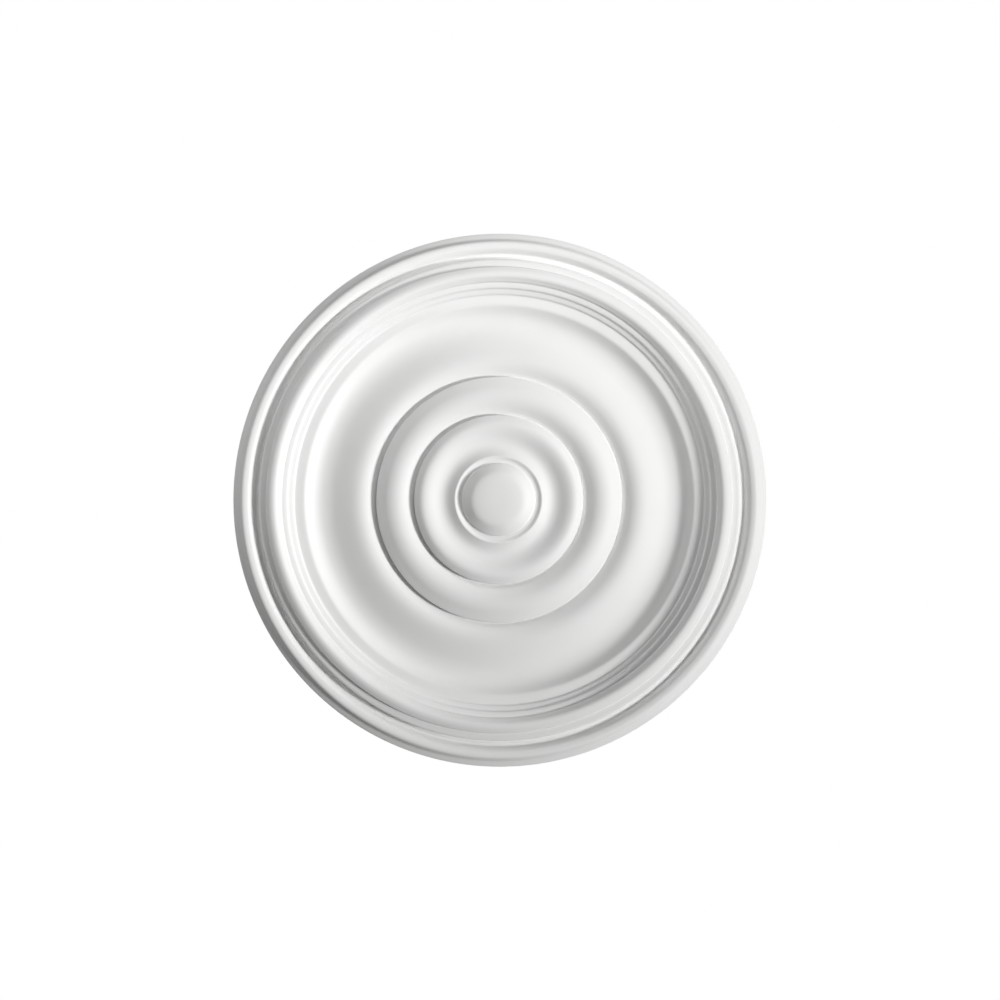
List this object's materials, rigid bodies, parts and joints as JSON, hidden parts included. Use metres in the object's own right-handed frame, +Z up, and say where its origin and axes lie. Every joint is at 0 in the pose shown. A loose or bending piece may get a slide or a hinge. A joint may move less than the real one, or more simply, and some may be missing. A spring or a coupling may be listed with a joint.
{
  "type": "ceiling rose",
  "caption": "Round moulded ceiling rose with a plain domed centre, concentric rolled rings, a stepped crown and a flat back that lies on the ceiling.",
  "frame": {"origin": "centre of the flat back, on the ceiling plane", "axes": "+Z up into the ceiling along the axis of the rose; the moulded face looks down -Z; +X and +Y are any two directions along the ceiling, since the rose is round"},
  "size_m": [0.48, 0.48, 0.0362],
  "materials": {
    "ceiling_rose": "matte white primer on moulded polyurethane"
  },
  "bodies": {
    "root": {"ceiling_rose": "ceiling_rose"}
  },
  "joints": []
}
